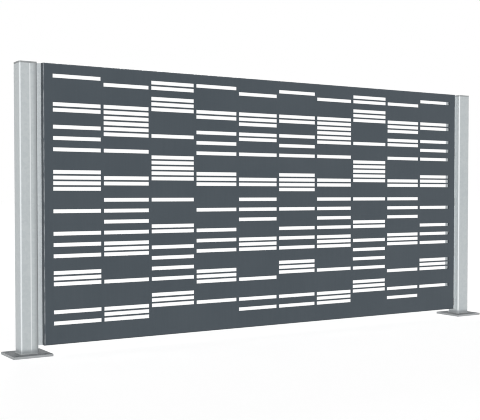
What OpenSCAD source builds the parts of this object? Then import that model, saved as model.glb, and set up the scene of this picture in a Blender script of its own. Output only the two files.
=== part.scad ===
// Slotted sheet fence bay: a folded sheet-metal panel held between two flanged posts.
//
// Millimetres. +X runs along the fence, +Z is up, and the show face of the panel looks to -Y.
// The origin is the centre of the left base plate's underside, where the post stands on the ground.
// The panel is a tray: one sheet, slotted on its face, folded back on all four edges and folded
// again into lips. The lips rest on a flat strip that is welded to each post, and bolt to it.

/* [Panel] */
// Width of the folded panel
panel_w = 2500; // [1900:1:3200]
// Height of the folded panel
panel_h = 1250; // [900:1:1600]
// Thickness of the sheet
sheet_t = 3; // [2:0.5:4]
// Depth of the folded edges, from the show face to the back of the lips
return_d = 32; // [20:1:60]
// Width of the lips that turn inwards behind the folded edges
lip_w = 22; // [20:1:40]
// Inside radius of every bend
bend_inside_r = 2; // [1:0.5:4]
// Width of the slit that parts two folded edges at a corner
corner_gap = 1; // [0.5:0.1:2]
// Height of the panel's lower edge above the ground
ground_gap = 40; // [20:1:250]

/* [Slots] */
// Plain sheet above the first row of slots
top_margin = 46; // [30:1:150]
// Plain sheet below the last row of slots
bottom_margin = 87; // [30:1:200]
// Plain sheet beside the first and the last column of slots
side_margin = 44; // [30:1:120]
// Bar left between two slots, one above the other
bar_h = 8; // [5:0.5:10]
// Bridge left between two columns of slots
bridge_w = 14; // [8:1:40]

/* [Posts] */
// Outer width of the square hollow section
post_w = 80; // [60:1:110]
// Wall thickness of the section
post_wall = 3; // [2:0.5:5]
// Outer radius of the section's corners
post_r = 7; // [6:0.5:10]
// Thickness of the plate that closes the top
cap_t = 8; // [4:1:12]

/* [Base plates] */
// Width of the square plate under each post
base_w = 180; // [155:1:260]
// Thickness of the plate
base_t = 10; // [6:1:15]
// Radius of the plate's corners
base_r = 6; // [1:1:15]
// Spacing of the four anchor holes, centre to centre
anchor_spacing = 130; // [105:1:155]
// Diameter of the anchor holes
anchor_d = 14; // [9:1:20]

/* [Fixing strips] */
// Thickness of the flat strip between post and panel
strip_t = 6; // [4:1:10]
// Gap between the post and the panel, which the strip bridges
side_gap = 29; // [12:1:80]
// How far the strip reaches behind the panel
strip_overlap = 36; // [26:1:60]
// Number of bolts up each side of the panel
bolts_per_side = 4; // [2:1:8]
// Diameter of the bolt holes through strip and lip
bolt_hole_d = 9; // [6:0.5:10]
// Distance from the panel's side edge to the line of bolts
bolt_inset = 13.5; // [12:0.5:14.5]
// Distance from the panel's top and bottom edges to the outer bolts
bolt_end = 100; // [50:1:180]

/* [Hidden] */
$fn = 48;
eps = 0.01;
cut = 1;

// Five column designs, read from the top row down: # is a slot and . is plain sheet.
COLUMN_A = "#....##..#.#.#...####...#...#.#.#..###....#.#";
COLUMN_B = ".#...######..#....##..#.#.#.#.###....#....###";
COLUMN_C = "##.###....#...#####...#....##..#.#.#.#..###..";
COLUMN_D = "#....##..#.#.#...###....#...#.#.#...###...#..";
COLUMN_E = ".#...###.##..#....##..#.#.#...###.....#...#.#";
// The ten columns of the panel from left to right, seen from the show face
COLUMNS = [COLUMN_A, COLUMN_B, COLUMN_C, COLUMN_D, COLUMN_E,
           COLUMN_A, COLUMN_B, COLUMN_C, COLUMN_E, COLUMN_D];

column_count = len(COLUMNS);
row_count = len(COLUMN_A);
slot_w = (panel_w - 2 * side_margin - (column_count - 1) * bridge_w) / column_count;
column_pitch = slot_w + bridge_w;
row_pitch = (panel_h - top_margin - bottom_margin + bar_h) / row_count;
slot_h = row_pitch - bar_h;

bend_r = bend_inside_r + sheet_t;
panel_x = post_w / 2 + side_gap;
panel_top = ground_gap + panel_h;
lip_back_y = -strip_t / 2;
face_y = lip_back_y - return_d;
post_spacing = 2 * panel_x + panel_w;
strip_w = side_gap + strip_overlap;
tube_h = panel_top - cap_t - base_t;

// A flat rectangle with rounded corners, drawn from the origin or centred on it, as square() is
module rounded_rectangle(w, h, r, center = false) {
    translate(center ? [-w / 2, -h / 2] : [0, 0]) {
        translate([r, 0])
            square([w - 2 * r, h]);
        translate([0, r])
            square([w, h - 2 * r]);
        for (x = [r, w - r], y = [r, h - r])
            translate([x, y])
                circle(r = r);
    }
}

// The block that the folded panel fills, or its hollow when inset by the sheet's thickness.
// Two rounded bars cross, so that every long edge has its bend and the corners mitre.
module panel_block(inset) {
    w = panel_w - 2 * inset;
    h = panel_h - 2 * inset;
    d = return_d - 2 * inset;
    r = bend_r - inset;
    translate([panel_x + inset, face_y + inset, ground_gap + inset])
        intersection() {
            linear_extrude(h)
                rounded_rectangle(w, d, r);
            rotate([90, 0, 90])
                linear_extrude(w)
                    rounded_rectangle(d, h, r);
        }
}

// The open back of the tray, inside its four lips
module back_opening() {
    translate([panel_x + lip_w, lip_back_y - sheet_t - eps, ground_gap + lip_w])
        cube([panel_w - 2 * lip_w, sheet_t + cut, panel_h - 2 * lip_w]);
}

// The slits that part the folded edges and their lips at the four corners, along the mitres.
// They end where the bend of the show face begins, so that the face keeps closed corners.
module corner_slits() {
    slit_l = lip_w * sqrt(2) + 2 * cut;
    slit_d = return_d - bend_r;
    for (right = [0, 1], top = [0, 1])
        translate([panel_x + (right ? panel_w - lip_w : lip_w), lip_back_y - slit_d,
                   ground_gap + (top ? panel_h - lip_w : lip_w)])
            rotate([0, right == top ? -45 : 45, 0])
                translate([right ? -cut : cut - slit_l, 0, -corner_gap / 2])
                    cube([slit_l, slit_d + cut, corner_gap]);
}

// Heights of the bolts up one side of the panel
function bolt_z(i) = ground_gap + bolt_end + i * (panel_h - 2 * bolt_end) / (bolts_per_side - 1);

// A row of bolt holes through whatever stands at the panel's left or right side
module bolt_holes(right) {
    x = panel_x + (right ? panel_w - bolt_inset : bolt_inset);
    for (i = [0 : bolts_per_side - 1])
        translate([x, lip_back_y - sheet_t - cut, bolt_z(i)])
            rotate([-90, 0, 0])
                cylinder(d = bolt_hole_d, h = sheet_t + strip_t + 2 * cut);
}

// The slots of one column, cut where its design has a mark
module column_of_slots(i) {
    x = panel_x + side_margin + i * column_pitch;
    for (row = [0 : row_count - 1])
        if (COLUMNS[i][row] == "#")
            translate([x, face_y - cut, panel_top - top_margin - row * row_pitch - slot_h])
                cube([slot_w, sheet_t + 2 * cut, slot_h]);
}

module slotted_panel() {
    color("#50555b")
        difference() {
            panel_block(0);
            panel_block(sheet_t);
            back_opening();
            corner_slits();
            bolt_holes(right = false);
            bolt_holes(right = true);
            for (i = [0 : column_count - 1])
                column_of_slots(i);
        }
}

// A square hollow section, open at both ends
module post(x) {
    color("#bcc1c4")
        translate([x, 0, base_t])
            linear_extrude(tube_h)
                difference() {
                    rounded_rectangle(post_w, post_w, post_r, center = true);
                    rounded_rectangle(post_w - 2 * post_wall, post_w - 2 * post_wall,
                                      post_r - post_wall, center = true);
                }
}

// The plate welded over the open top of a post
module post_cap(x) {
    color("#8e9396")
        translate([x, 0, base_t + tube_h])
            linear_extrude(cap_t)
                rounded_rectangle(post_w, post_w, post_r, center = true);
}

// The square plate that a post is welded to, with four holes for ground anchors
module base_plate(x) {
    color("#7f8487")
        translate([x, 0, 0])
            difference() {
                linear_extrude(base_t)
                    rounded_rectangle(base_w, base_w, base_r, center = true);
                for (sx = [-1, 1], sy = [-1, 1])
                    translate([sx * anchor_spacing / 2, sy * anchor_spacing / 2, -cut])
                        cylinder(d = anchor_d, h = base_t + 2 * cut);
            }
}

// The flat strip that stands off a post's inner face and carries the panel's lip
module fixing_strip(right) {
    x = right ? post_spacing - post_w / 2 - strip_w : post_w / 2;
    color("#b4babd")
        difference() {
            translate([x, -strip_t / 2, ground_gap])
                cube([strip_w, strip_t, panel_h]);
            bolt_holes(right);
        }
}

slotted_panel();
post(0);  // left_post
post(post_spacing);  // right_post
post_cap(0);  // left_post_cap
post_cap(post_spacing);  // right_post_cap
base_plate(0);  // left_base_plate
base_plate(post_spacing);  // right_base_plate
fixing_strip(right = false);  // left_fixing_strip
fixing_strip(right = true);  // right_fixing_strip
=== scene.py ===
"""Looks of one slotted sheet fence bay: finishes, welds, bolts, light and camera.

Metres, +X along the fence, +Z up, and the show face of the panel looks to -Y.
"""
import math

import bmesh
import bpy
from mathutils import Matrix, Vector


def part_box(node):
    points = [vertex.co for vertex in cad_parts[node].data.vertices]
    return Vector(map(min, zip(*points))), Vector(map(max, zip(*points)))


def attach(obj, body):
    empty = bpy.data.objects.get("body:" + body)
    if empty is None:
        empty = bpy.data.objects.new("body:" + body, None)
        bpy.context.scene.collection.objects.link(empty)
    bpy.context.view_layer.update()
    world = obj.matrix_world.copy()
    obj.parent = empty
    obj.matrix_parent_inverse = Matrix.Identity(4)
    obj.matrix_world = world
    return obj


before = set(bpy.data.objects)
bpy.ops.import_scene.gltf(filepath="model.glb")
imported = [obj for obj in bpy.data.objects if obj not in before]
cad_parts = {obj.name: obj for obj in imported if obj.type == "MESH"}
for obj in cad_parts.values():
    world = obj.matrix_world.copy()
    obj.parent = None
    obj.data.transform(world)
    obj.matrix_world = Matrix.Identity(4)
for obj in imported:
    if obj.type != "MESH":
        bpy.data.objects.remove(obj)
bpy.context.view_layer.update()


# ---- Base plates ----
# Two square flats of 10 mm steel, drilled for four ground anchors each and hot-dip galvanised.
# Their tops are painted dark grey as painted shade, lighter in random patches and on the right
# plate; their sawn sides and a ragged band round the rim stay paler.

MM = 0.001
PLATE_TOP_SHADE = (0.105, 0.115, 0.121)
PLATE_PATCH = (0.157, 0.167, 0.172)
PLATE_EDGE = (0.385, 0.40, 0.41)
# How far its random patches, and the right plate, lift the top's painted shade to the patches'
# colour
PATCH_SHARE = 0.4
RIGHT_PLATE_SHARE = 0.6
# Width of the ragged pale band round a plate
EDGE_BAND = 1.2 * MM


class Wire:
    """One output of a shader node. Arithmetic on wires and numbers adds Math nodes."""

    def __init__(self, tree, socket=None):
        self.tree = tree
        self.socket = socket

    def node(self, kind, settings=None, inputs=None, output=0):
        """Adds any node. Its settings come first, then the values or wires of its sockets."""
        made = self.tree.nodes.new(kind)
        for name, value in (settings or {}).items():
            setattr(made, name, value)
        for name, value in (inputs or {}).items():
            if isinstance(value, Wire):
                self.tree.links.new(value.socket, made.inputs[name])
            else:
                made.inputs[name].default_value = value
        return Wire(self.tree, made.outputs[output] if made.outputs else None)

    def math(self, operation, *others):
        """A Math node whose first value is this wire."""
        values = dict(enumerate((self, *others)))
        return self.node("ShaderNodeMath", {"operation": operation}, values)

    def __add__(self, other):
        return self.math("ADD", other)

    __radd__ = __add__

    def __sub__(self, other):
        return self.math("SUBTRACT", other)

    def __rsub__(self, other):
        return self.math("MULTIPLY_ADD", -1.0, other)

    def __mul__(self, other):
        return self.math("MULTIPLY", other)

    __rmul__ = __mul__

    def __abs__(self):
        return self.math("ABSOLUTE")


def empty_tree(owner):
    """Clears the nodes of a material or a world, and starts a wire among them."""
    owner.use_nodes = True
    owner.node_tree.nodes.clear()
    return Wire(owner.node_tree)


def start_material(name):
    """An empty material, and the wire of its points in metres in the frame of the part."""
    material = bpy.data.materials.new(name)
    return material, empty_tree(material).node("ShaderNodeTexCoord", output="Object")


def finish_material(point, **sockets):
    """Joins a Principled shader to the output. Underscores in socket names stand for spaces."""
    inputs = {name.replace("_", " "): value for name, value in sockets.items()}
    shader = point.node("ShaderNodeBsdfPrincipled", {}, inputs)
    point.node("ShaderNodeOutputMaterial", {}, {"Surface": shader})


def noise(point, size, detail=3.0, stretch=(1, 1, 1)):
    """Noise from 0 to 1 whose blotches are about size metres across, times stretch."""
    scale = tuple(1 / (size * along) for along in stretch)
    mapped = point.node("ShaderNodeMapping", {}, {"Vector": point, "Scale": scale})
    return point.node("ShaderNodeTexNoise", {}, {"Vector": mapped, "Scale": 1.0, "Detail": detail})


def ramp(value, low, high):
    """0 below low, 1 above high, and a smooth rise between them."""
    settings = {"interpolation_type": "SMOOTHSTEP"}
    limits = {"Value": value, "From Min": low, "From Max": high}
    return value.node("ShaderNodeMapRange", settings, limits)


def blend_colours(factor, first, second):
    """A mix of two colours: 0 gives the first and 1 the second."""
    inputs = {0: factor, 6: (*first, 1) if isinstance(first, tuple) else first,
              7: (*second, 1) if isinstance(second, tuple) else second}
    return factor.node("ShaderNodeMix", {"data_type": "RGBA"}, inputs, 2)


def bump(height, depth):
    """A Bump node: height from 0 to 1 stands for a relief of depth metres."""
    return height.node("ShaderNodeBump", {}, {"Height": height, "Distance": depth, "Strength": 1.0})


def axis_of(point, axis):
    """One of the three numbers of a point, direction or colour."""
    return point.node("ShaderNodeSeparateXYZ", {}, {"Vector": point}, axis)


plate_low, plate_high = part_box("left_base_plate")
post_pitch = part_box("right_base_plate")[0].x - plate_low.x
plate_half = plate_high.x
plate_top = plate_high.z


def off_axis(point):
    """Distance from the nearer post's axis along X or Y, whichever is more: square rings."""
    x, y = axis_of(point, "X"), axis_of(point, "Y")
    along = abs(x - post_pitch / 2) - post_pitch / 2
    return abs(along).math("MAXIMUM", abs(y))


def toward_right_post(point):
    """0 at the left post and 1 at the right, which gets more painted highlight and less painted
    shade.
    """
    return ramp(axis_of(point, "X"), post_pitch * 0.4, post_pitch * 0.6)


def finish_pair(kind, material):
    """Gives the left and the right piece of a kind their material."""
    for side in ("left", "right"):
        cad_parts[side + "_" + kind].material_slots[0].material = material


plate_zinc, at = start_material("galvanised plate with painted shade")
clouds = noise(at, 35 * MM, 5)
fine = noise(at, 1.6 * MM, 2)
ragged = off_axis(at) + noise(at, 6 * MM, 3) * EDGE_BAND
edge = ramp(ragged, plate_half - EDGE_BAND, plate_half + EDGE_BAND / 6)
# A plate's top is painted dark as painted shade, lightened in random patches and on the right
# plate.
paler = ramp(clouds, 0.35, 0.68) * PATCH_SHARE + toward_right_post(at) * RIGHT_PLATE_SHARE
finish_material(
    at,
    Base_Color=blend_colours(edge, blend_colours(paler, PLATE_TOP_SHADE, PLATE_PATCH), PLATE_EDGE),
    Roughness=0.6 + clouds * 0.16 - edge * 0.15,
    Specular_IOR_Level=0.05,
    Normal=bump(clouds * 0.6 + fine * 0.4, 0.12 * MM),
)
finish_pair("base_plate", plate_zinc)


# ---- Posts ----
# Square hollow sections of 80 mm with 3 mm walls, cut from seam-welded tube and galvanised to a
# pale satin grey with a faint spangle. A paler colour painted on the rounded corners, more on the
# right post, and down a line on the left post's front is painted highlight; a darker one at the
# foot and up the left post's edge beside the panel is painted shade.

POST_ZINC = (0.497, 0.536, 0.55)
POST_SPANGLE = (0.54, 0.575, 0.585)
PAINTED_HIGHLIGHT_ZINC = (0.76, 0.79, 0.80)
PAINTED_SHADE_ZINC = (0.27, 0.29, 0.30)
post_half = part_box("left_post")[1].x
POST_ROUND = 7 * MM
# The crystals of the spangle, and how far and how often their edges wander
CRYSTALS_PER_METRE = 85.0
WANDERS_PER_METRE = 160.0
WANDER = 4 * MM
# Depth behind the front face over which its painted highlight line and painted shade run show in
# full
FRONT_DEPTH = 2 * MM
HIGHLIGHT_LINE_X = 7 * MM
HIGHLIGHT_LINE_HALF = 3.2 * MM
HIGHLIGHT_LINE_SHARE = 0.9
# The painted shade beside the panel starts here and would be complete just past the post
BESIDE_SHADE_START = HIGHLIGHT_LINE_X + 6 * MM
BESIDE_SHADE_END = post_half + 4 * MM
# The foot is painted in shade up to the first height over its plate, and clear of it from the
# second
FOOT_SHADE_FULL = 12 * MM
FOOT_SHADE_CLEAR = 30 * MM
FOOT_SHADE_SHARE = 0.85
# Painted highlight on the rounded corners of the left post, and what the right one adds to it
CORNER_HIGHLIGHT_SHARE = 0.49
RIGHT_CORNER_HIGHLIGHT_SHARE = 0.29


def galvanised(name, dark, light):
    """Satin zinc: flat crystals a centimetre across, soft clouds and a fine grain."""
    material, at = start_material(name)
    drift = at.node("ShaderNodeTexNoise", {}, {"Vector": at, "Scale": WANDERS_PER_METRE}, "Color")
    bent = at.node("ShaderNodeVectorMath", {"operation": "MULTIPLY_ADD"},
                   {0: drift, 1: (WANDER, WANDER, WANDER), 2: at})
    crystal = bent.node("ShaderNodeTexVoronoi", {},
                        {"Vector": bent, "Scale": CRYSTALS_PER_METRE}, "Color")
    tone = axis_of(crystal, "X")
    clouds = noise(at, 90 * MM, 4, (1, 1, 2.5))
    grain = noise(at, 1.2 * MM, 2)
    colour = blend_colours(ramp(tone * 0.45 + clouds * 0.55, 0.2, 0.8), dark, light)
    rough = 0.34 + tone * 0.05 + clouds * 0.08
    relief = bump(tone * 0.3 + grain * 0.7, 0.05 * MM)
    return material, at, colour, rough, relief


post_zinc, at, colour, rough, relief = galvanised("galvanised post", POST_ZINC, POST_SPANGLE)
# Masks: the front, a painted highlight line, painted shade beside the panel and at the foot, the
# corners
across = axis_of(at, "X")
front = 1 - ramp(axis_of(at, "Y"), FRONT_DEPTH - post_half, POST_ROUND - post_half)
# A pale line painted down the left post's front is a painted highlight.
highlight_line = (1 - ramp(abs(across - HIGHLIGHT_LINE_X), HIGHLIGHT_LINE_HALF / 2, HIGHLIGHT_LINE_HALF)) * front
# The left post's front is painted darker towards its edge beside the panel, as painted shade.
beside = ramp(across, BESIDE_SHADE_START, BESIDE_SHADE_END) * front
beside = beside * (1 - ramp(across, post_half, post_half + 1 * MM))
height = axis_of(at, "Z") + noise(at, 20 * MM, 3) * (8 * MM)
# The foot of each post is painted darker where it meets its plate, as painted shade.
foot = 1 - ramp(height, plate_top + FOOT_SHADE_FULL, plate_top + FOOT_SHADE_CLEAR)
facing = at.node("ShaderNodeNewGeometry", output="Normal")
# The rounded corners are painted paler as a painted highlight, more on the right post.
corner = ramp(abs(axis_of(facing, "X") * axis_of(facing, "Y")) * 2, 0.15, 0.7)
corner_highlight_share = corner * (1 - foot) * (CORNER_HIGHLIGHT_SHARE + toward_right_post(at) * RIGHT_CORNER_HIGHLIGHT_SHARE)
colour = blend_colours(corner_highlight_share, colour, PAINTED_HIGHLIGHT_ZINC)
colour = blend_colours(highlight_line * HIGHLIGHT_LINE_SHARE, colour, PAINTED_HIGHLIGHT_ZINC)
colour = blend_colours(beside, colour, PAINTED_SHADE_ZINC)
finish_material(
    at,
    Base_Color=blend_colours(foot * FOOT_SHADE_SHARE, colour, PAINTED_SHADE_ZINC),
    Metallic=0.1,
    Roughness=rough + highlight_line * 0.08 + corner * 0.2,
    Specular_IOR_Level=0.25,
    Normal=relief,
)
finish_pair("post", post_zinc)


# ---- Foot welds ----
# A fillet weld runs round the foot of each post and joins it to its plate. It was laid before
# galvanising, so that its ripples are coated; its zinc is painted much darker than the tube's, as
# painted shade in the corners it fills.

WELD_SHADE_ZINC = (0.20, 0.212, 0.218)
WELD_PALE = (0.27, 0.285, 0.29)
FOOT_LEG = 4 * MM
RIPPLE_PITCH = 2.2 * MM
# Depth of a ripple as a share of the weld's leg, and its bow as a share of its pitch
RIPPLE_DEPTH = 0.10
RIPPLE_BOW = 0.4
RIPPLE_STEPS = 4
BEAD_STEPS = 6
# Depth of a bead's root in the steel, and what keeps its ends from thinning away to nothing
BEAD_SUNK = 0.3 * MM
BEAD_START = 0.3 * MM
QUARTER = math.pi / 2
SHARP_ANGLE = math.radians(35)

weld_zinc, at = start_material("galvanised weld")
clouds = noise(at, 8 * MM, 4)
# The weld's dark zinc is painted shade, with random paler clouds.
finish_material(
    at,
    Base_Color=blend_colours(clouds, WELD_SHADE_ZINC, WELD_PALE),
    Metallic=0.2,
    Roughness=0.5 + clouds * 0.2,
    Normal=bump(noise(at, 0.9 * MM, 2), 0.05 * MM),
)


def make_object(name, mesh, material):
    """Makes a smooth-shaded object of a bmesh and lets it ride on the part."""
    bmesh.ops.recalc_face_normals(mesh, faces=mesh.faces)
    data = bpy.data.meshes.new(name)
    mesh.to_mesh(data)
    mesh.free()
    data.shade_smooth()
    data.set_sharp_from_angle(angle=SHARP_ANGLE)
    piece = bpy.data.objects.new(name, data)
    bpy.context.scene.collection.objects.link(piece)
    data.materials.append(material)
    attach(piece, "root")


def skin(mesh, rings, row_closed, ring_closed=True):
    """Joins a row of equal rings of vertices with faces, and caps the ends that are open."""
    count = len(rings[0])
    for i in range(len(rings) if row_closed else len(rings) - 1):
        here, there = rings[i], rings[(i + 1) % len(rings)]
        for j in range(count if ring_closed else count - 1):
            k = (j + 1) % count
            mesh.faces.new((here[j], here[k], there[k], there[j]))
    if not row_closed:
        mesh.faces.new(rings[0])
        mesh.faces.new(rings[-1][::-1])
    if not ring_closed:
        mesh.faces.new([ring[0] for ring in rings])
        mesh.faces.new([ring[-1] for ring in rings])


def add_bead(mesh, length, place, leg, closed=False):
    """Adds one rippled fillet weld. At each distance along it, place gives its root and the two
    directions in which its legs lie."""
    steps = round(length / RIPPLE_PITCH * RIPPLE_STEPS)
    rings = []
    for i in range(steps if closed else steps + 1):
        s = length * i / steps
        root, first, second = place(s)
        run_out = 1 if closed else min(1, math.sqrt((min(s, length - s) + BEAD_START) / leg))
        ring = [root - (first + second) * BEAD_SUNK]
        for j in range(BEAD_STEPS + 1):
            turn = QUARTER * j / BEAD_STEPS
            middle = math.sin(2 * turn)
            wave = abs(math.sin(math.pi * (s / RIPPLE_PITCH + RIPPLE_BOW * middle)))
            size = leg * run_out * (1 - RIPPLE_DEPTH * (1 - wave) * middle)
            ring.append(root + first * size * math.cos(turn) + second * size * math.sin(turn))
        rings.append([mesh.verts.new(corner) for corner in ring])
    skin(mesh, rings, closed)


# A foot has four flat sides, each followed by a rounded corner
foot_flat = 2 * (post_half - POST_ROUND)
foot_side = foot_flat + POST_ROUND * QUARTER


def round_the_foot(axis, s):
    """Root and directions of the bead at a distance round the foot of the post on that axis."""
    side = int(s // foot_side) % 4
    s -= side * foot_side
    turn = side * QUARTER + max(0, s - foot_flat) / POST_ROUND
    outward = Vector((math.cos(turn), math.sin(turn), 0))
    across = Vector((math.cos(side * QUARTER), math.sin(side * QUARTER), 0))
    along = Vector((-across.y, across.x, 0))
    centre = across * (post_half - POST_ROUND) + along * (min(s, foot_flat) - foot_flat / 2)
    return axis + centre + outward * POST_ROUND, outward, Vector((0, 0, 1))


for side, x in (("left", 0), ("right", post_pitch)):
    foot_axis = Vector((x, 0, plate_top))
    mesh = bmesh.new()
    add_bead(mesh, 4 * foot_side, lambda s: round_the_foot(foot_axis, s), FOOT_LEG, closed=True)
    make_object(side + "_foot_weld", mesh, weld_zinc)


# ---- Post caps ----
# A flat plate closes each post. It is welded on flush with the tube and its edge ground flat,
# then galvanised. Its zinc is painted much darker than the tube's as painted shade, most on the
# left post, with fine marks along the edge.

CAP_SHADE_ZINC = (0.255, 0.27, 0.275)
CAP_LIGHT = (0.325, 0.34, 0.345)
CAP_RIGHT_ZINC = (0.345, 0.365, 0.37)

cap_zinc, at = start_material("galvanised cap")
clouds = noise(at, 20 * MM, 4)
scratches = noise(at, 4 * MM, 2, (6, 6, 0.1))
# A cap's dark colour is painted shade, lighter on the right post's cap.
colour = blend_colours(clouds, CAP_SHADE_ZINC, CAP_LIGHT)
finish_material(
    at,
    Base_Color=blend_colours(toward_right_post(at), colour, CAP_RIGHT_ZINC),
    Metallic=0.3,
    Roughness=0.5 + scratches * 0.15,
    Specular_IOR_Level=0.3,
    Normal=bump(clouds * 0.4 + scratches * 0.6, 0.04 * MM),
)
finish_pair("post_cap", cap_zinc)


# ---- Fixing strips ----
# A 65 x 6 mm flat stands on the inner face of each post and carries the panel's lip. It is
# stitch welded to the post on both sides, then galvanised with it to a pale satin grey, painted a
# little paler than the posts as painted light against the shade of the gap it stands in.

STRIP_LIT_ZINC = (0.54, 0.578, 0.595)
STRIP_LIT_SPANGLE = (0.595, 0.63, 0.642)
STITCHES = 5
STITCH_LENGTH = 45 * MM
STITCH_LEG = 3 * MM
STITCH_INSET = 15 * MM

# The strips' zinc is painted a little paler than the posts' as painted light in the gap.
strip_zinc, at, colour, rough, relief = galvanised("galvanised strip", STRIP_LIT_ZINC, STRIP_LIT_SPANGLE)
finish_material(at, Base_Color=colour, Metallic=0.1, Roughness=rough + 0.1, Normal=relief)
finish_pair("fixing_strip", strip_zinc)


def add_stitch(mesh, foot, outward, sideways):
    """Adds one stitch weld, straight up the corner between post and strip."""
    directions = Vector((outward, 0, 0)), Vector((0, sideways, 0))
    add_bead(mesh, STITCH_LENGTH, lambda s: (foot + Vector((0, 0, s)), *directions), STITCH_LEG)


for side, outward in (("left", 1), ("right", -1)):
    low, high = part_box(side + "_fixing_strip")
    post_face = low.x if outward > 0 else high.x
    pitch = (high.z - low.z - 2 * STITCH_INSET - STITCH_LENGTH) / (STITCHES - 1)
    mesh = bmesh.new()
    for sideways, y in ((-1, low.y), (1, high.y)):
        for i in range(STITCHES):
            foot = Vector((post_face, y, low.z + STITCH_INSET + i * pitch))
            add_stitch(mesh, foot, outward, sideways)
    make_object(side + "_strip_welds", mesh, weld_zinc)


# ---- Slotted panel ----
# One 3 mm steel sheet, laser cut and folded into a tray, then powder coated in a matt anthracite
# with a fine, slightly uneven texture. Faces turned along the fence, the folded ends among them,
# are painted darker as painted shade, the upright bends carry a pale painted highlight, and the
# top edge holds a trace of dust.

COAT = (0.060, 0.0755, 0.089)
COAT_PALE = (0.069, 0.085, 0.099)
COAT_END_SHADE = (0.038, 0.047, 0.056)
COAT_BEND_HIGHLIGHT = (0.25, 0.265, 0.28)
DUST = (0.12, 0.13, 0.135)
BEND_HIGHLIGHT_SHARE = 0.85
DUST_SHARE = 0.25

coat, at = start_material("anthracite powder coat")
clouds = noise(at, 250 * MM, 4)
streaks = noise(at, 12 * MM, 3, (1, 1, 14))
peel = noise(at, 1.4 * MM, 2)
speck = noise(at, 0.5 * MM, 1)
# Masks: dust on the top edge, a painted highlight on the upright bends, painted shade on end faces
facing = at.node("ShaderNodeNewGeometry", output="Normal")
ledge = ramp(axis_of(facing, "Z"), 0.55, 0.95) * ramp(noise(at, 20 * MM, 4), 0.35, 0.7)
bend = abs(axis_of(facing, "X") * axis_of(facing, "Y")) * 2
# A pale painted highlight runs along the upright bends, broken up by noise.
bend_highlight = ramp(bend, 0.3, 0.9) * ramp(noise(at, 11 * MM, 2, (1, 1, 3.5)), 0.3, 0.66)
# Faces turned along the fence are painted darker as painted shade.
folded = ramp(abs(axis_of(facing, "X")), 0.8, 0.97)
tone = clouds * 0.5 + streaks * 0.3 + peel * 0.2
colour = blend_colours(ramp(tone, 0.3, 0.7), COAT, COAT_PALE)
colour = blend_colours(folded, colour, COAT_END_SHADE)
colour = blend_colours(ledge * DUST_SHARE, colour, DUST)
finish_material(
    at,
    Base_Color=blend_colours(bend_highlight * BEND_HIGHLIGHT_SHARE, colour, COAT_BEND_HIGHLIGHT),
    Roughness=0.33 + clouds * 0.08 + speck * 0.06 + ledge * 0.2,
    Specular_IOR_Level=0.25,
    Normal=bump(peel * 0.65 + speck * 0.35, 0.06 * MM),
)
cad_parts["slotted_panel"].material_slots[0].material = coat


# ---- Bolts, washers and nuts ----
# Four M8 hexagon bolts a side hold the panel's lip to its strip, with the heads on the back of
# the strip and the nuts inside the tray. They are bright zinc plated and turned by hand to lie
# at odd angles.

PLATING = (0.60, 0.61, 0.60)
PLATING_STAIN = (0.47, 0.47, 0.45)
# The outer bolts' distance from the panel's top and bottom, and all bolts' from its side
BOLT_END = 100 * MM
BOLT_INSET = 13.5 * MM
SHEET = 3 * MM
# The angles, in radians, at which the four heads and the four nuts stopped
HEAD_TURNS = (0.30, 1.12, 0.71, 0.05)
NUT_TURNS = (0.88, 0.17, 0.52, 1.30)
FLATS = 13 * MM
CHAMFER_RADIUS = FLATS / 2 * 0.95
CHAMFER_ANGLE = math.radians(30)
HEAD_HEIGHT = 5.3 * MM
DISH_RADIUS = 2.6 * MM
DISH_RIM = 3.3 * MM
DISH_DEPTH = 0.35 * MM
NUT_HEIGHT = 6.5 * MM
MOUTH_WIDTH = 1.2 * MM
MOUTH_DEPTH = 0.5 * MM
WASHER_INNER = 4.2 * MM
WASHER_OUTER = 8 * MM
WASHER_THICK = 1.6 * MM
WASHER_ROUND = 0.25 * MM
SHANK_RADIUS = 3.95 * MM
BOLT_LENGTH = 25 * MM
BOLT_TIP = 1 * MM
THREAD_PITCH = 1.25 * MM
THREAD_DEPTH = 0.65 * MM
# Steps of the mesh along one turn of the thread, and round every turned form
THREAD_STEPS = 8
ROUND_STEPS = 72

bright_zinc, at = start_material("bright zinc plating")
stain = noise(at, 4 * MM, 3)
finish_material(
    at,
    Base_Color=blend_colours(ramp(stain, 0.3, 0.75), PLATING, PLATING_STAIN),
    Metallic=0.9,
    Roughness=0.24 + stain * 0.18,
    Normal=bump(noise(at, 0.8 * MM, 2), 0.02 * MM),
)


def turned(mesh, centre, spin, profile, closed=False):
    """Adds a form turned about Y. profile(turn) lists (radius, y) pairs along its section, which
    is closed, or open and then capped."""
    rings = []
    for i in range(ROUND_STEPS):
        turn = 2 * math.pi * i / ROUND_STEPS
        ring = [Vector((r * math.cos(turn + spin), y, r * math.sin(turn + spin)))
                for r, y in profile(turn)]
        rings.append([mesh.verts.new(centre + corner) for corner in ring])
    skin(mesh, rings, True, closed)


def washer(turn):
    """A flat ring with softened outer edges."""
    soft = WASHER_OUTER - WASHER_ROUND
    return ((WASHER_INNER, 0), (WASHER_INNER, WASHER_THICK), (soft, WASHER_THICK),
            (WASHER_OUTER, WASHER_THICK - WASHER_ROUND), (WASHER_OUTER, WASHER_ROUND), (soft, 0))


def hexagon(turn):
    """Radius of the hexagon that heads and nuts share, at an angle."""
    return FLATS / 2 / math.cos((turn + math.pi / 6) % (math.pi / 3) - math.pi / 6)


def chamfer(turn, height):
    """Height of a hexagon's flank under its turned chamfer."""
    return height - (hexagon(turn) - CHAMFER_RADIUS) * math.tan(CHAMFER_ANGLE)


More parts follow.
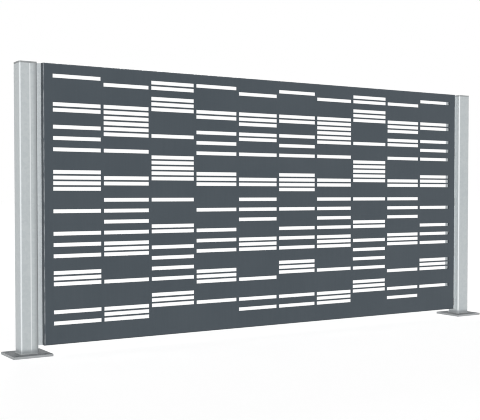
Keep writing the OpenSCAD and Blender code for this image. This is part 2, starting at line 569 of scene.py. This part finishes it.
def nut(turn):
    """A hexagon with chamfers at both ends, and a bore that widens at its mouths."""
    bore = SHANK_RADIUS - THREAD_DEPTH
    mouth = bore + MOUTH_WIDTH
    flank = hexagon(turn)
    flank_top = chamfer(turn, NUT_HEIGHT)
    return ((bore, MOUTH_DEPTH), (mouth, 0), (CHAMFER_RADIUS, 0), (flank, NUT_HEIGHT - flank_top),
            (flank, flank_top), (CHAMFER_RADIUS, NUT_HEIGHT), (mouth, NUT_HEIGHT),
            (bore, NUT_HEIGHT - MOUTH_DEPTH))


def bolt(turn):
    """From the dished top of the head down the shank to the chamfered end of its thread."""
    flank = hexagon(turn)
    outline = [(DISH_RADIUS, HEAD_HEIGHT - DISH_DEPTH), (DISH_RIM, HEAD_HEIGHT),
               (CHAMFER_RADIUS, HEAD_HEIGHT), (flank, chamfer(turn, HEAD_HEIGHT)), (flank, 0)]
    steps = THREAD_STEPS * round(BOLT_LENGTH / THREAD_PITCH)
    for i in range(steps + 1):
        y = -BOLT_LENGTH * i / steps
        groove = abs((y / THREAD_PITCH - turn / (2 * math.pi)) % 1 - 0.5) * 2
        tip = max(0, BOLT_TIP - BOLT_LENGTH - y)
        outline.append((SHANK_RADIUS - max(THREAD_DEPTH * (1 - groove), tip), y))
    return outline


panel_low, panel_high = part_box("slotted_panel")
bolt_pitch = (panel_high.z - panel_low.z - 2 * BOLT_END) / (len(HEAD_TURNS) - 1)
for side, x in (("left", panel_low.x + BOLT_INSET), ("right", panel_high.x - BOLT_INSET)):
    low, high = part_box(side + "_fixing_strip")
    head_y = high.y + WASHER_THICK
    inner_washer_y = low.y - SHEET - WASHER_THICK
    nut_y = inner_washer_y - NUT_HEIGHT
    bolts, washers, nuts = bmesh.new(), bmesh.new(), bmesh.new()
    for i, (head_turn, nut_turn) in enumerate(zip(HEAD_TURNS, NUT_TURNS)):
        z = panel_low.z + BOLT_END + i * bolt_pitch
        turned(washers, Vector((x, high.y, z)), 0, washer, closed=True)
        turned(washers, Vector((x, inner_washer_y, z)), 0, washer, closed=True)
        turned(bolts, Vector((x, head_y, z)), head_turn, bolt)
        turned(nuts, Vector((x, nut_y, z)), nut_turn, nut, closed=True)
    make_object(side + "_bolts", bolts, bright_zinc)
    make_object(side + "_washers", washers, bright_zinc)
    make_object(side + "_nuts", nuts, bright_zinc)


# ---- Floor, light and camera ----
# A plain pale floor under an even white sky, lit by broad lamps far off. A weak lamp in front and
# one behind cast the shadows. Each has a stronger one beside it that casts none, so that what lies
# behind the slots is lit as well, and a low one fills in from the left.

FLOOR_PAINT = (0.40, 0.40, 0.40, 1)
FLOOR_BOUNCE = (0.36, 0.36, 0.36, 1)
FLOOR_GLOW = 0.695
FLOOR_REACH = 60
SKY_LIGHT = 0.07
WHITE = (1, 1, 1, 1)
LAMP_SPREAD = math.radians(20)
CAMERA_DIP = math.radians(1.637)
CAMERA_TURN = math.radians(32.351)


def seen(start):
    """1 where the camera, a reflection or glass looks, and 0 for light that only bounces."""
    camera, glossy, through = (start.node("ShaderNodeLightPath", output=f"Is {kind} Ray")
                               for kind in ("Camera", "Glossy", "Transmission"))
    return (camera + glossy + through).math("MINIMUM", 1.0)


floor_paint = bpy.data.materials.new("pale floor")
start = empty_tree(floor_paint)
bounce = start.node("ShaderNodeBsdfDiffuse", {}, {"Color": FLOOR_BOUNCE})
paint = start.node("ShaderNodeBsdfDiffuse", {}, {"Color": FLOOR_PAINT})
glow = start.node("ShaderNodeEmission", {}, {"Color": WHITE, "Strength": FLOOR_GLOW})
lit = start.node("ShaderNodeAddShader", {}, {0: paint, 1: glow})
mixed = start.node("ShaderNodeMixShader", {}, {0: seen(start), 1: bounce, 2: lit})
start.node("ShaderNodeOutputMaterial", {}, {"Surface": mixed})

mesh = bmesh.new()
bmesh.ops.create_grid(mesh, x_segments=8, y_segments=8, size=FLOOR_REACH)
data = bpy.data.meshes.new("floor")
mesh.to_mesh(data)
mesh.free()
floor = bpy.data.objects.new("floor", data)
bpy.context.scene.collection.objects.link(floor)
data.materials.append(floor_paint)

world = bpy.data.worlds.new("white sky")
bpy.context.scene.world = world
start = empty_tree(world)
look = seen(start)
strength = look + (1 - look) * SKY_LIGHT
sky = start.node("ShaderNodeBackground", {}, {"Color": WHITE, "Strength": strength})
start.node("ShaderNodeOutputWorld", {}, {"Surface": sky})


def add_lamp(name, towards, strength, use_shadow=True):
    """A broad white lamp, far off in one direction."""
    light = bpy.data.lights.new(name, "SUN")
    light.energy = strength
    light.angle = LAMP_SPREAD
    light.use_shadow = use_shadow
    lamp = bpy.data.objects.new(name, light)
    lamp.rotation_euler = towards.to_track_quat("Z", "Y").to_euler()
    bpy.context.scene.collection.objects.link(lamp)


def from_afar(bearing, height):
    """The way to a lamp, from a bearing round from the show side to the left, in degrees."""
    bearing, height = math.radians(bearing), math.radians(height)
    level = math.cos(height)
    return Vector((-math.sin(bearing) * level, -math.cos(bearing) * level, math.sin(height)))


add_lamp("key_lamp", from_afar(0, 45), 0.35)
add_lamp("fill_lamp", from_afar(0, 45), 1.40, use_shadow=False)
add_lamp("side_lamp", from_afar(60, 5), 2.3, use_shadow=False)
add_lamp("back_lamp", from_afar(205, 30), 0.8)
add_lamp("back_fill_lamp", from_afar(205, 30), 1.0, use_shadow=False)

scene = bpy.context.scene
camera_data = bpy.data.cameras.new("camera")
camera_data.sensor_width = 36
camera_data.lens = 69.84
camera_data.shift_x = -0.0104
camera_data.shift_y = 0.022
camera_data.clip_end = 200
camera = bpy.data.objects.new("camera", camera_data)
camera.location = (-1.3793, -3.9787, 0.7125)
camera.rotation_euler = (QUARTER - CAMERA_DIP, 0, -CAMERA_TURN)
scene.collection.objects.link(camera)
scene.camera = camera
scene.view_settings.view_transform = "Standard"
scene.cycles.filter_width = 1.05
